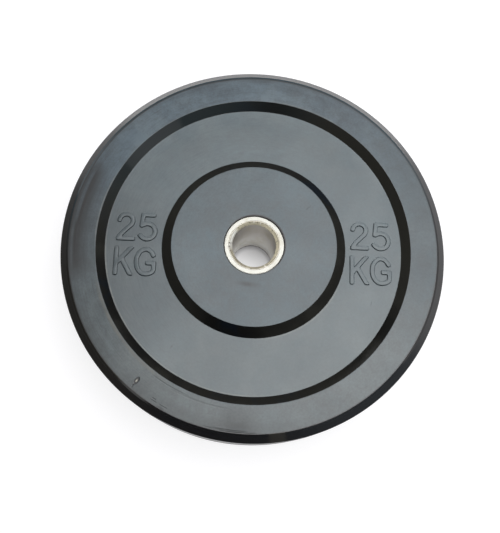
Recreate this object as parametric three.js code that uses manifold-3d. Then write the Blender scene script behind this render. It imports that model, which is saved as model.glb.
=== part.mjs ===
// A solid rubber bumper plate for a weightlifting bar, lying on its rear hub face.
// One moulded rubber disc grips a steel insert: a sleeve tube that slides over the bar,
// a collar round each mouth of the tube, and a perforated anchor plate that is welded
// to the middle of the tube and buried in the rubber, which runs through its holes.
// Millimetres, +Z up, with the origin at the centre of the rear hub face.

import * as THREE from "three";
import { mergeVertices } from "three/addons/utils/BufferGeometryUtils.js";
import Module from "manifold-3d";

const wasm = await Module();
wasm.setup();

// Overall sizes
const plate_diameter = 450;
const hub_thickness = 95;
const bore_diameter = 51;

// Rubber faces, the same on both sides, from the hub out to the tread
const hub_face_diameter = 192.6;
const hub_slope_width = 11.4;
const hub_proud = 1.5;
const web_depth = 9.4;
const rim_slope_width = 9.4;
const rim_face_width = 31.9;
const rim_face_fall = 2.9;
const bevel_width = 9.9;
const bevel_depth = 7.7;

// Raised lettering, two groups on each face
const letter_height = 34.4;
const letter_stroke = 4.8;
const letter_corner = 1.2;
const letter_raise = 1.6;
const letter_root = 2;
const letter_row_gap = 7.5;
const digit_gap = 3.7;
const capital_gap = 1.3;
const lettering_inset = 3.1;
const lettering_drop = 1.7;

// Shapes of the characters, as shares of the letter height measured from the lower left corner
const two_shares = {
  width: 0.628,
  hook_radius: 0.298,
  hook_centre: [0.302, 0.702],
  tail_bend: [0.093, 0.189],
  tail_end: [0.08, 0.085],
};
const two_hook_start_degrees = 174;
const two_hook_end_degrees = -47;
const five_shares = {
  width: 0.64,
  bowl_radius: 0.343,
  stem_foot: [0.098, 0.49],
  stem_top: [0.145, 1],
  bar_end: 0.565,
};
const five_bowl_start_degrees = 128;
const five_bowl_end_degrees = -148;
const k_shares = {
  width: 0.651,
  arm_root_height: 0.39,
  arm_tip: [0.577, 1],
  leg_root: [0.247, 0.596],
  leg_tip: [0.59, 0],
};
const g_shares = {
  width: 0.733,
  bowl_radius: 0.372,
  stem_foot_height: 0.247,
  stem_pull: 0.102,
  foot_pull: 0.189,
  bar_top: 0.52,
  bar_start: 0.378,
};
const g_bowl_start_degrees = 32;
const g_bowl_end_degrees = 270;

// Steel insert
const tube_wall = 4.1;
const mouth_chamfer_width = 3.5;
const mouth_chamfer_depth = 3;
const collar_wall = 4.8;
const collar_length = 16;
const collar_recess = 1;
const collar_edge = 0.5;
const groove_width = 5;
const groove_depth = 1.8;
const anchor_plate_diameter = 150;
const anchor_plate_thickness = 6;
const anchor_hole_diameter = 16;
const anchor_hole_count = 8;
const weld_leg = 5;

// Gap that is left between two pieces, and how far a joined solid reaches into its neighbour
const fit_clearance = 0.3;
const joining_overrun = 2;

// Fineness of the round shapes
const rubber_segments = 72;
const insert_segments = 48;
const hole_segments = 16;
const letter_curve_segments = 5;
const letter_corner_segments = 2;

// Radii and heights that follow, with heights measured from the plate's middle plane
const plate_radius = plate_diameter / 2;
const half_thickness = hub_thickness / 2;
const hub_face_radius = hub_face_diameter / 2;
const web_inner_radius = hub_face_radius + hub_slope_width;
const rim_face_outer_radius = plate_radius - bevel_width;
const rim_face_inner_radius = rim_face_outer_radius - rim_face_width;
const web_outer_radius = rim_face_inner_radius - rim_slope_width;
const rim_inner_height = half_thickness - hub_proud;
const rim_outer_height = rim_inner_height - rim_face_fall;
const tread_height = rim_outer_height - bevel_depth;
const web_height = rim_inner_height - web_depth;

const bore_radius = bore_diameter / 2;
const tube_radius = bore_radius + tube_wall;
const collar_inner_radius = tube_radius + fit_clearance;
const collar_radius = collar_inner_radius + collar_wall;
const insert_height = half_thickness - collar_recess;
const collar_foot_height = insert_height - collar_length;
const groove_middle_height = insert_height - collar_length / 2;
const groove_radius = collar_radius - groove_depth;
const anchor_plate_radius = anchor_plate_diameter / 2;
const anchor_plate_inner_radius = tube_radius + fit_clearance;
const anchor_plate_height = anchor_plate_thickness / 2;
const anchor_hole_radius = anchor_hole_diameter / 2;
const anchor_hole_ring_radius = (anchor_plate_inner_radius + anchor_plate_radius) / 2;
const weld_foot_height = anchor_plate_height + fit_clearance;

const rubber_material = new THREE.MeshStandardMaterial({ color: 0x4e5355, roughness: 0.55, metalness: 0 });
const faced_steel_material = new THREE.MeshStandardMaterial({ color: 0xded9cf, roughness: 0.25, metalness: 1 });
const dull_steel_material = new THREE.MeshStandardMaterial({ color: 0xa89f92, roughness: 0.45, metalness: 1 });

function toSolid(geometry) {
  const positions_only = geometry.clone();
  positions_only.deleteAttribute("normal");
  positions_only.deleteAttribute("uv");
  const merged = mergeVertices(positions_only);
  const vertProperties = new Float32Array(merged.attributes.position.array);
  const triVerts = new Uint32Array(merged.index.array);
  return new wasm.Manifold(new wasm.Mesh({ numProp: 3, vertProperties, triVerts }));
}

function toGeometry(solid) {
  const mesh = solid.getMesh();
  const geometry = new THREE.BufferGeometry();
  geometry.setAttribute("position", new THREE.BufferAttribute(mesh.vertProperties, 3));
  geometry.setIndex(new THREE.BufferAttribute(mesh.triVerts, 1));
  geometry.computeVertexNormals();
  return geometry;
}

function namedMesh(name, geometry, material) {
  const mesh = new THREE.Mesh(geometry, material.clone());
  mesh.name = name;
  return mesh;
}

// A ring turned round the plate's axis from a closed outline of radius and height pairs
function turned(outline, segments) {
  const points = outline.map(([radius, height]) => new THREE.Vector2(radius, height));
  points.push(points[0].clone());
  const geometry = new THREE.LatheGeometry(points, segments);
  geometry.rotateX(Math.PI / 2);
  return geometry;
}

// Adds the same outline on the far side of the middle plane
function mirrored(outline) {
  const far_side = outline.map(([radius, height]) => [radius, -height]);
  return outline.concat(far_side.reverse());
}

function roundBar(radius, length) {
  const geometry = new THREE.CylinderGeometry(radius, radius, length, hole_segments);
  geometry.rotateX(Math.PI / 2);
  return geometry;
}

// Places one solid at each hole of the anchor plate
function atAnchorHoles(radius, length) {
  const places = [];
  for (let index = 0; index < anchor_hole_count; index += 1) {
    const angle = (index * 2 * Math.PI) / anchor_hole_count;
    const centre_x = anchor_hole_ring_radius * Math.cos(angle);
    const centre_y = anchor_hole_ring_radius * Math.sin(angle);
    places.push(toSolid(roundBar(radius, length).translate(centre_x, centre_y, 0)));
  }
  return places;
}

// Lettering: each character is a few flat strokes, drawn from its lower left corner
const half_stroke = letter_stroke / 2;

function atLetter(share) {
  return share * letter_height;
}

function letterPoint([x_share, y_share]) {
  return new THREE.Vector2(atLetter(x_share), atLetter(y_share));
}

// A closed outline through the given corners, each of them rounded a little
function roundedOutline(corners) {
  const shape = new THREE.Shape();
  corners.forEach((corner, index) => {
    const before = corners.at(index - 1);
    const after = corners[(index + 1) % corners.length];
    const start = corner.clone().add(before.clone().sub(corner).setLength(letter_corner));
    const end = corner.clone().add(after.clone().sub(corner).setLength(letter_corner));
    if (index === 0) {
      shape.moveTo(start.x, start.y);
    } else {
      shape.lineTo(start.x, start.y);
    }
    shape.quadraticCurveTo(corner.x, corner.y, end.x, end.y);
  });
  shape.closePath();
  return shape;
}

function levelStroke(left, bottom, right) {
  const top = bottom + letter_stroke;
  return roundedOutline([
    new THREE.Vector2(left, bottom),
    new THREE.Vector2(right, bottom),
    new THREE.Vector2(right, top),
    new THREE.Vector2(left, top),
  ]);
}

// A straight stroke that is cut square at its root and level at its tip
function standingStroke(root, tip) {
  const along = tip.clone().sub(root).normalize();
  const across = new THREE.Vector2(-along.y, along.x).multiplyScalar(half_stroke);
  const level = new THREE.Vector2(-half_stroke / along.y, 0);
  return roundedOutline([
    root.clone().sub(across),
    tip.clone().sub(level),
    tip.clone().add(level),
    root.clone().add(across),
  ]);
}

// Points of a stroke's rounded end, from its right side to its left side
function strokeEnd(tip, along) {
  const right = new THREE.Vector2(along.y, -along.x);
  const flat = half_stroke - letter_corner;
  const points = [];
  [1, -1].forEach((side) => {
    for (let step = 0; step <= letter_corner_segments; step += 1) {
      const turn = (step / letter_corner_segments) * (Math.PI / 2);
      const angle = side > 0 ? turn : Math.PI / 2 - turn;
      const sideways = side * (flat + letter_corner * Math.cos(angle));
      const forwards = flat + letter_corner * Math.sin(angle);
      points.push(tip.clone().addScaledVector(right, sideways).addScaledVector(along, forwards));
    }
  });
  return points;
}

// A stroke of even width along a smooth centre line
function curvedStroke(centre_line) {
  const points = centre_line.getPoints(letter_curve_segments);
  const last = points.length - 1;
  const right_side = [];
  const left_side = [];
  points.forEach((point, index) => {
    const before = points[Math.max(index - 1, 0)];
    const after = points[Math.min(index + 1, last)];
    const along = after.clone().sub(before).normalize();
    const right = new THREE.Vector2(along.y, -along.x).multiplyScalar(half_stroke);
    right_side.push(point.clone().add(right));
    left_side.unshift(point.clone().sub(right));
  });
  const first_along = points[1].clone().sub(points[0]).normalize();
  const last_along = points[last].clone().sub(points[last - 1]).normalize();
  const front_end = strokeEnd(points[last], last_along);
  const back_end = strokeEnd(points[0], first_along.negate());
  return new THREE.Shape([
    ...right_side.slice(1, last),
    ...front_end,
    ...left_side.slice(1, last),
    ...back_end,
  ]);
}

function digitTwo() {
  const width = atLetter(two_shares.width);
  const outer_radius = atLetter(two_shares.hook_radius);
  const centre = letterPoint(two_shares.hook_centre);
  const bend = letterPoint(two_shares.tail_bend);
  const tail = letterPoint(two_shares.tail_end);
  const start_angle = THREE.MathUtils.degToRad(two_hook_start_degrees);
  const end_angle = THREE.MathUtils.degToRad(two_hook_end_degrees);
  const hook = new THREE.Path();
  hook.absarc(centre.x, centre.y, outer_radius - half_stroke, start_angle, end_angle, true);
  hook.quadraticCurveTo(bend.x, bend.y, tail.x, tail.y);
  return { width, strokes: [curvedStroke(hook), levelStroke(0, 0, width)] };
}

function digitFive() {
  const width = atLetter(five_shares.width);
  const outer_radius = atLetter(five_shares.bowl_radius);
  const centre_x = width - outer_radius;
  const start_angle = THREE.MathUtils.degToRad(five_bowl_start_degrees);
  const end_angle = THREE.MathUtils.degToRad(five_bowl_end_degrees);
  const bowl = new THREE.Path();
  bowl.absarc(centre_x, outer_radius, outer_radius - half_stroke, start_angle, end_angle, true);
  const stem_foot = letterPoint(five_shares.stem_foot);
  const stem_top = letterPoint(five_shares.stem_top);
  const stem = standingStroke(stem_foot, stem_top);
  const bar_end = atLetter(five_shares.bar_end);
  const bar = levelStroke(stem_top.x - half_stroke, letter_height - letter_stroke, bar_end);
  return { width, strokes: [curvedStroke(bowl), stem, bar] };
}

function capitalK() {
  const width = atLetter(k_shares.width);
  const stem_foot = new THREE.Vector2(half_stroke, 0);
  const stem_top = new THREE.Vector2(half_stroke, letter_height);
  const arm_root = new THREE.Vector2(half_stroke, atLetter(k_shares.arm_root_height));
  const stem = standingStroke(stem_foot, stem_top);
  const arm = standingStroke(arm_root, letterPoint(k_shares.arm_tip));
  const leg = standingStroke(letterPoint(k_shares.leg_root), letterPoint(k_shares.leg_tip));
  return { width, strokes: [stem, arm, leg] };
}

function capitalG() {
  const width = atLetter(g_shares.width);
  const centre_x = atLetter(g_shares.bowl_radius);
  const centre_y = letter_height / 2;
  const radius_x = centre_x - half_stroke;
  const radius_y = centre_y - half_stroke;
  const start_angle = THREE.MathUtils.degToRad(g_bowl_start_degrees);
  const end_angle = THREE.MathUtils.degToRad(g_bowl_end_degrees);
  const stem_x = width - half_stroke;
  const stem_foot = new THREE.Vector2(stem_x, atLetter(g_shares.stem_foot_height));
  const bar_top = atLetter(g_shares.bar_top);
  const bowl = new THREE.Path();
  bowl.absellipse(centre_x, centre_y, radius_x, radius_y, start_angle, end_angle, false);
  const foot_pull = atLetter(g_shares.foot_pull);
  const stem_pull_y = stem_foot.y - atLetter(g_shares.stem_pull);
  bowl.bezierCurveTo(centre_x + foot_pull, half_stroke, stem_x, stem_pull_y, stem_foot.x, stem_foot.y);
  const stem = standingStroke(stem_foot, new THREE.Vector2(stem_x, bar_top));
  const bar = levelStroke(atLetter(g_shares.bar_start), bar_top - letter_stroke, width);
  return { width, strokes: [curvedStroke(bowl), stem, bar] };
}

// One row of two characters, centred on the given point of its baseline
function letterRow(characters, gap, centre_x, baseline_y) {
  const row_width = characters[0].width + gap + characters[1].width;
  let left = centre_x - row_width / 2;
  const solids = [];
  characters.forEach((character) => {
    character.strokes.forEach((stroke) => {
      const depth = letter_root + letter_raise;
      const settings = { depth, bevelEnabled: false, curveSegments: letter_corner_segments };
      const geometry = new THREE.ExtrudeGeometry(stroke, settings);
      geometry.translate(left, baseline_y, web_height - letter_root);
      solids.push(toSolid(geometry));
    });
    left += character.width + gap;
  });
  return solids;
}

// The weight in figures over its unit, on the left and on the right of the hub
function faceLettering() {
  const centre_radius = (web_inner_radius + web_outer_radius) / 2 - lettering_inset;
  const solids = [];
  [-centre_radius, centre_radius].forEach((centre_x) => {
    const digits_baseline = letter_row_gap / 2 - lettering_drop;
    const capitals_baseline = -letter_row_gap / 2 - letter_height - lettering_drop;
    solids.push(...letterRow([digitTwo(), digitFive()], digit_gap, centre_x, digits_baseline));
    solids.push(...letterRow([capitalK(), capitalG()], capital_gap, centre_x, capitals_baseline));
  });
  return solids;
}

// Rubber disc: the faces and tread outside, and inside the pocket that the insert fills
function rubberDisc() {
  const pocket_radius = collar_radius + fit_clearance;
  const key_radius = groove_radius + fit_clearance;
  const key_half_width = groove_width / 2 - fit_clearance;
  const tube_pocket_radius = tube_radius + fit_clearance;
  const weld_pocket_reach = weld_leg + 2 * fit_clearance;
  const anchor_pocket_height = anchor_plate_height + fit_clearance;
  const outline = mirrored([
    [plate_radius, tread_height],
    [rim_face_outer_radius, rim_outer_height],
    [rim_face_inner_radius, rim_inner_height],
    [web_outer_radius, web_height],
    [web_inner_radius, web_height],
    [hub_face_radius, half_thickness],
    [pocket_radius, half_thickness],
    [pocket_radius, groove_middle_height + key_half_width],
    [key_radius, groove_middle_height + key_half_width],
    [key_radius, groove_middle_height - key_half_width],
    [pocket_radius, groove_middle_height - key_half_width],
    [pocket_radius, collar_foot_height - fit_clearance],
    [tube_pocket_radius, collar_foot_height - fit_clearance],
    [tube_pocket_radius, weld_foot_height + weld_pocket_reach],
    [anchor_plate_inner_radius + weld_pocket_reach, anchor_pocket_height],
    [anchor_plate_radius + fit_clearance, anchor_pocket_height],
  ]);
  let solid = toSolid(turned(outline, rubber_segments));
  const pillar_length = 2 * (anchor_pocket_height + joining_overrun);
  atAnchorHoles(anchor_hole_radius - fit_clearance, pillar_length).forEach((pillar) => {
    solid = solid.add(pillar);
  });
  faceLettering().forEach((letter) => {
    solid = solid.add(letter);
    solid = solid.add(letter.rotate([0, 180, 0]));
  });
  return namedMesh("rubber_disc", toGeometry(solid), rubber_material);
}

// Sleeve tube: runs from face to face, with a wide chamfer inside each mouth
function sleeveTube() {
  const outline = mirrored([
    [tube_radius, insert_height],
    [bore_radius + mouth_chamfer_width, insert_height],
    [bore_radius, insert_height - mouth_chamfer_depth],
  ]);
  return namedMesh("sleeve_tube", turned(outline, insert_segments), dull_steel_material);
}

// Collar: frames a mouth of the tube, with a groove outside that the rubber locks into
function collar(name) {
  const outline = [
    [collar_inner_radius, collar_foot_height],
    [collar_radius, collar_foot_height],
    [collar_radius, groove_middle_height - groove_width / 2],
    [groove_radius, groove_middle_height - groove_width / 2],
    [groove_radius, groove_middle_height + groove_width / 2],
    [collar_radius, groove_middle_height + groove_width / 2],
    [collar_radius, insert_height - collar_edge],
    [collar_radius - collar_edge, insert_height],
    [collar_inner_radius, insert_height],
  ];
  return namedMesh(name, turned(outline, insert_segments), faced_steel_material);
}

// Anchor plate: a perforated disc round the middle of the tube
function anchorPlate() {
  const outline = mirrored([
    [anchor_plate_radius, anchor_plate_height],
    [anchor_plate_inner_radius, anchor_plate_height],
  ]);
  let solid = toSolid(turned(outline, insert_segments));
  const cut_length = 2 * (anchor_plate_height + joining_overrun);
  atAnchorHoles(anchor_hole_radius, cut_length).forEach((cut) => {
    solid = solid.subtract(cut);
  });
  return namedMesh("anchor_plate", toGeometry(solid), dull_steel_material);
}

// Weld bead: fills the corner between the tube and one side of the anchor plate
function anchorWeld(name) {
  const outline = [
    [anchor_plate_inner_radius, weld_foot_height],
    [anchor_plate_inner_radius + weld_leg, weld_foot_height],
    [anchor_plate_inner_radius, weld_foot_height + weld_leg],
  ];
  return namedMesh(name, turned(outline, insert_segments), dull_steel_material);
}

function turnedOver(mesh) {
  mesh.rotation.y = Math.PI;
  return mesh;
}

const bumper_plate = new THREE.Group();
bumper_plate.position.z = half_thickness;
bumper_plate.add(rubberDisc());
bumper_plate.add(sleeveTube());
bumper_plate.add(collar("front_collar"));
bumper_plate.add(turnedOver(collar("rear_collar")));
bumper_plate.add(anchorPlate());
bumper_plate.add(anchorWeld("front_anchor_weld"));
bumper_plate.add(turnedOver(anchorWeld("rear_anchor_weld")));

export default bumper_plate;
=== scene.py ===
# A solid rubber bumper plate with a steel sleeve, lying on pale ground and seen from above.
# The solids loaded first are a fixed frame, and every piece here rides on them. Metres, +Z up.

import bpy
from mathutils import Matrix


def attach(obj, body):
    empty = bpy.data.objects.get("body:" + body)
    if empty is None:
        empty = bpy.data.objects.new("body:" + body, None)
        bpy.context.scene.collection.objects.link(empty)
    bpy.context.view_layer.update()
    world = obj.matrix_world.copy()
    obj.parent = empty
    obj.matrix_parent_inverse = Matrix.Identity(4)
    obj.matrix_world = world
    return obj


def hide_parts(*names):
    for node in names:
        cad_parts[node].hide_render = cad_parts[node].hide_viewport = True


bl_info = {
    "name": "Bumper plate",
    "version": (1, 0, 0),
    "blender": (4, 5, 0),
    "location": "View3D > Sidebar > Bumper plate",
    "description": "Builds a solid rubber bumper plate with its steel sleeve, and a studio round it",
    "category": "Object",
}

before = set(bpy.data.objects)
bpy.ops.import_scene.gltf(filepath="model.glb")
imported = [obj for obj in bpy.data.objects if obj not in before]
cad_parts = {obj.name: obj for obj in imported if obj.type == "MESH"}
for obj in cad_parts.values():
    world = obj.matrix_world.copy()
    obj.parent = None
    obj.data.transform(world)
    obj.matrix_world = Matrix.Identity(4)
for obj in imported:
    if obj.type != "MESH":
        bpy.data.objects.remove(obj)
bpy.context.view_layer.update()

import math
from functools import reduce
from types import SimpleNamespace

import bmesh
import bpy
from bpy.props import FloatProperty, FloatVectorProperty, IntProperty, PointerProperty
from mathutils import Matrix, Vector
from mathutils.geometry import delaunay_2d_cdt

BODY = "root"


# Sizes and colours that a user would change


def setting(kind, **shared):
    """A maker of settings of one kind, each with its name, description and default."""

    def make(name, description, default):
        return kind(name=name, description=description, default=default, **shared)

    return make


length = setting(FloatProperty, min=0, unit="LENGTH", subtype="DISTANCE", precision=4)
position = setting(FloatVectorProperty, size=3, unit="LENGTH", subtype="TRANSLATION")
turn = setting(FloatProperty, unit="ROTATION", subtype="ANGLE")
colour = setting(FloatVectorProperty, size=4, min=0, max=1, subtype="COLOR")
share = setting(FloatProperty, min=0, max=1, subtype="FACTOR")
number = setting(FloatProperty, min=0)
amount = setting(IntProperty, min=3, max=720)


class PlateSizes(bpy.types.PropertyGroup):
    """Sizes of the rubber moulding, the same on both faces"""

    plate_diameter: length("Plate diameter", "Across the tread", 0.450)
    hub_thickness: length("Hub thickness", "From one hub face to the other", 0.095)
    hub_face_diameter: length("Hub face diameter", "Flat face round the sleeve", 0.1926)
    hub_slope_width: length("Hub slope width", "Width of the slope from hub to web", 0.0114)
    hub_proud: length("Hub proud", "Height of the hub face above the rim", 0.0015)
    web_depth: length("Web depth", "Depth of the web below the rim", 0.0094)
    rim_slope_width: length("Rim slope width", "Width of the slope from web to rim", 0.0094)
    rim_face_width: length("Rim face width", "Width of the rim's face", 0.0316)
    rim_face_fall: length("Rim face fall", "How far the rim's face falls outwards", 0.0022)
    bevel_width: length("Bevel width", "Width of the outer bevel", 0.0102)
    bevel_depth: length("Bevel depth", "Depth of the outer bevel", 0.0064)
    shoulder_width: length("Shoulder width", "Flatter strip between the rim's face and the bevel", 0.0022)
    shoulder_fall: length("Shoulder fall", "How far that strip falls outwards", 0.0006)
    shoulder_radius: length("Shoulder radius", "Rounding between that strip and the bevel", 0.00025)
    edge_radius: length("Edge radius", "Rounding of the moulded edges", 0.0009)
    lip_radius: length("Lip radius", "Rounding of the rubber round the steel ring", 0.0011)
    tread_edge_radius: length("Tread edge radius", "Rounding between the bevel and the tread", 0.0012)
    parting_height: length("Parting line height", "Height of the mould line round the tread", 0.0012)
    parting_raise: length("Parting line raise", "How proud the mould line stands", 0.00025)
    segments: amount("Segments", "Steps round the moulding", 240)


class FigureSizes(bpy.types.PropertyGroup):
    """Sizes of the raised figures on both webs"""

    height: length("Height", "Height of a figure", 0.0344)
    stroke: length("Stroke", "Width of a stroke", 0.0048)
    corner: length("Corner", "Rounding of a stroke's corners", 0.0012)
    raised: length("Raised", "How far the figures stand above the web", 0.0016)
    row_gap: length("Row gap", "Between the figures and their unit", 0.0075)
    digit_gap: length("Digit gap", "Between the two digits", 0.0037)
    capital_gap: length("Capital gap", "Between the two capitals", 0.0013)
    inset: length("Inset", "From the web's middle line towards the hub", 0.0031)
    drop: length("Drop", "From the plate's level line downwards", 0.0017)


class InsertSizes(bpy.types.PropertyGroup):
    """Sizes of the steel insert"""

    bore_diameter: length("Bore diameter", "Bore that the bar's sleeve goes through", 0.051)
    tube_wall: length("Tube wall", "Wall of the sleeve tube", 0.0041)
    mouth_chamfer_width: length("Mouth chamfer width", "Width of the chamfer in each mouth", 0.0035)
    mouth_chamfer_depth: length("Mouth chamfer depth", "Depth of the chamfer in each mouth", 0.003)
    collar_wall: length("Collar wall", "Width of the bright ring", 0.0048)
    collar_length: length("Collar length", "How deep the collar sits in the rubber", 0.016)
    collar_recess: length("Collar recess", "How far the ring lies below the hub face", 0.001)
    collar_edge: length("Collar edge", "Chamfer on the ring's outer edge", 0.0005)
    groove_width: length("Groove width", "Groove that locks the collar in the rubber", 0.005)
    groove_depth: length("Groove depth", "Depth of that groove", 0.0018)
    anchor_diameter: length("Anchor diameter", "Buried disc that holds the tube in the rubber", 0.150)
    anchor_thickness: length("Anchor thickness", "Thickness of that disc", 0.006)
    anchor_hole: length("Anchor hole", "Holes that the rubber runs through", 0.016)
    anchor_holes: amount("Anchor holes", "Number of those holes", 8)
    fit_gap: length("Fit gap", "Gap that stands in for a bonded or pressed joint", 0.0003)


class Finishes(bpy.types.PropertyGroup):
    """Colours of the rubber and the steel"""

    rubber_black: colour("Rubber black", "Clean rubber on slopes, bevels and tread", (0.010, 0.010, 0.011, 1))
    slope_black: colour("Slope black", "Clean rubber of the slopes by the webs", (0.0080, 0.0080, 0.0076, 1))
    slope_blue: colour("Slope blue", "Bluer clouds in that rubber", (0.006, 0.008, 0.011, 1))
    slope_film: colour("Slope film", "Faint olive film on parts of those slopes", (0.0235, 0.023, 0.020, 1))
    slope_cool: colour("Slope cool film", "The film's bluer part at the far side", (0.024, 0.030, 0.032, 1))
    slope_patch: colour("Slope patch", "One paler patch on the rim's slope", (0.044, 0.048, 0.050, 1))
    rubber_bloom: colour("Rubber bloom", "Grey bloom on the flat faces", (0.057, 0.081, 0.094, 1))
    rubber_cool: colour("Cool bloom", "Bluer bloom on the far side of the rim", (0.060, 0.083, 0.101, 1))
    rubber_dust: colour("Rubber dust", "Paler grey on the web and the near rim", (0.112, 0.132, 0.137, 1))
    rubber_scuff: colour("Rubber scuff", "Pale marks on the rubber", (0.40, 0.38, 0.32, 1))
    ring_steel: colour("Ring steel", "Faced ring round the bore", (0.735, 0.73, 0.69, 1))
    bore_steel: colour("Bore steel", "Wall of the bore", (0.385, 0.36, 0.325, 1))
    chamfer_steel: colour("Chamfer steel", "Stained chamfer in each mouth", (0.50, 0.46, 0.34, 1))
    grime: colour("Grime", "Brown grime in the front mouth", (0.13, 0.115, 0.085, 1))
    nick_dirt: colour("Nick dirt", "Dirt in the nicks round the mouth", (0.03, 0.025, 0.018, 1))
    buried_steel: colour("Buried steel", "Black mill steel inside the rubber", (0.12, 0.11, 0.10, 1))
    face_roughness: share("Face roughness", "Roughness of the bloomed faces", 0.42)
    bevel_roughness: share("Bevel roughness", "Roughness of bevels and tread", 0.29)
    slope_gloss: share("Slope gloss", "Specular level of the slopes beside the webs", 0.02)
    rubber_index: number("Rubber index", "Index of refraction", 1.52)


class StudioSettings(bpy.types.PropertyGroup):
    """Camera, lamps and floor"""

    camera_target: position("Camera target", "Point the camera looks at", (-0.00414, -0.02624, 0.09512))
    camera_distance: length("Camera distance", "From the target to the camera", 0.86759)
    camera_elevation: turn("Camera elevation", "Angle above the horizon", math.radians(75.318))
    camera_azimuth: turn("Camera azimuth", "Round the plate, from -Y towards +X", math.radians(-6.465))
    camera_roll: turn("Camera roll", "Turn about the line of sight", math.radians(8.598))
    camera_lens: number("Lens", "Focal length in millimetres", 54.288)
    overhead_level: number("Overhead level", "Radiance of the overhead softbox", 3.84)
    far_level: number("Far level", "Radiance of the far panel", 8.8)
    right_level: number("Right level", "Radiance of the right panel", 0.22)
    fill_level: number("Fill level", "Strength of the dim surroundings", 0.08)
    felt_colour: colour("Felt colour", "Dark flags beside the plate", (0.01, 0.01, 0.01, 1))
    felt_glow: colour("Felt glow", "Faint cool glow on the flags at the right", (0.732, 0.893, 1, 1))
    floor_colour: colour("Floor colour", "Pale floor", (0.29, 0.285, 0.30, 1))
    floor_glow: number("Floor glow", "What the camera sees on top of the floor's light", 0.82)
    bore_glow: share("Bore glow", "Share of that glow on the floor inside the bore", 0.74)


# Shapes

# Degrees between the points of a rounded corner
ROUND_STEP = 9


def in_turn(points):
    """Each point of a closed outline, between the ones before and after it."""
    return zip(points[-1:] + points[:-1], points, points[1:] + points[:1])


def filleted(corners):
    """A closed outline through (x, y, radius) corners, each rounded by its radius."""
    points = []
    for before, (x, y, radius), after in in_turn(corners):
        corner = Vector((x, y))
        before = Vector(before[:2]) - corner
        after = Vector(after[:2]) - corner
        opening = before.angle(after)
        if radius <= 0 or opening > math.pi - 0.01:
            points.append(corner)
            continue
        before.normalize()
        after.normalize()
        tangent = radius / math.tan(opening / 2)
        centre = corner + (before + after).normalized() * radius / math.sin(opening / 2)
        first = corner + before * tangent - centre
        last = corner + after * tangent - centre
        sweep = math.pi - opening
        steps = max(3, round(math.degrees(sweep) / ROUND_STEP))
        for step in range(steps + 1):
            part = step / steps
            spoke = first * math.sin((1 - part) * sweep) + last * math.sin(part * sweep)
            points.append(centre + spoke / math.sin(sweep))
    return points


def divided(points, spacing, margin):
    """The same outline with its long runs divided, and a point close to each end of them."""
    made = []
    for _, point, after in in_turn(points):
        run = (after - point).length
        made.append(point)
        if run > 4 * margin:
            steps = max(1, round((run - 2 * margin) / spacing))
            for step in range(steps + 1):
                made.append(point.lerp(after, (margin + (run - 2 * margin) * step / steps) / run))
    return made


def mirrored(corners):
    return corners + [(x, -y, *rest) for x, y, *rest in reversed(corners)]


def skinned(mesh, here, there):
    """Adds the faces between two closed rings of corners."""
    for index in range(len(here)):
        following = (index + 1) % len(here)
        mesh.faces.new((here[index], there[index], there[following], here[following]))


def turned(mesh, outline, segments):
    """Adds a ring turned round the plate's axis from a closed outline of radius and height."""
    rings = []
    for step in range(segments):
        angle = 2 * math.pi * step / segments
        rings.append([mesh.verts.new((p.x * math.cos(angle), p.x * math.sin(angle), p.y)) for p in outline])
    for _, here, there in in_turn(rings):
        skinned(mesh, here, there)


def placed(name, data):
    """A new object in the scene."""
    piece = bpy.data.objects.new(name, data)
    bpy.context.scene.collection.objects.link(piece)
    return piece


def finished(mesh, name, height, material):
    """Turns the built mesh into a smooth piece that rides on the plate."""
    bmesh.ops.recalc_face_normals(mesh, faces=mesh.faces)
    bmesh.ops.translate(mesh, verts=mesh.verts, vec=(0, 0, height))
    data = bpy.data.meshes.new(name)
    mesh.to_mesh(data)
    mesh.free()
    data.shade_smooth()
    data.materials.append(material)
    piece = placed(name, data)
    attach(piece, BODY)
    return piece


def turn_over(mesh):
    """Turns what is built for the front over to the rear."""
    half_turn = Matrix.Rotation(math.pi, 3, "Y")
    bmesh.ops.rotate(mesh, verts=mesh.verts, cent=(0, 0, 0), matrix=half_turn)


def plate_levels(sizes):
    """Radii and heights of the moulding, with heights from the plate's middle plane."""
    at = SimpleNamespace(radius=sizes.plate_diameter / 2, half=sizes.hub_thickness / 2)
    at.hub = sizes.hub_face_diameter / 2
    at.web_inner = at.hub + sizes.hub_slope_width
    at.rim_outer = at.radius - sizes.bevel_width
    at.rim_inner = at.rim_outer - sizes.rim_face_width
    at.web_outer = at.rim_inner - sizes.rim_slope_width
    at.shoulder = at.rim_outer + sizes.shoulder_width
    at.rim_height = at.half - sizes.hub_proud
    at.rim_foot = at.rim_height - sizes.rim_face_fall
    at.shoulder_foot = at.rim_foot - sizes.shoulder_fall
    at.tread = at.rim_foot - sizes.bevel_depth
    at.web_height = at.rim_height - sizes.web_depth
    return at


def insert_levels(sizes, half):
    """Radii and heights of the steel insert, with heights from the plate's middle plane."""
    at = SimpleNamespace(bore=sizes.bore_diameter / 2, top=half - sizes.collar_recess)
    at.mouth = at.bore + sizes.mouth_chamfer_width
    at.tube = at.bore + sizes.tube_wall
    at.collar_inner = at.tube + sizes.fit_gap
    at.collar = at.collar_inner + sizes.collar_wall
    at.groove_radius = at.collar - sizes.groove_depth
    at.groove = at.top - sizes.collar_length / 2
    at.foot = at.top - sizes.collar_length
    return at


# Figures: each one is a few flat strokes, drawn from its lower left corner in shares of its height


def bent(corners, corner_size):
    """A closed outline with each corner rounded a little."""
    points = []
    for before, corner, after in in_turn(corners):
        start = corner + (before - corner).normalized() * corner_size
        end = corner + (after - corner).normalized() * corner_size
        points += [start, start.lerp(corner, 0.5).lerp(corner.lerp(end, 0.5), 0.5), end]
    return points


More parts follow.
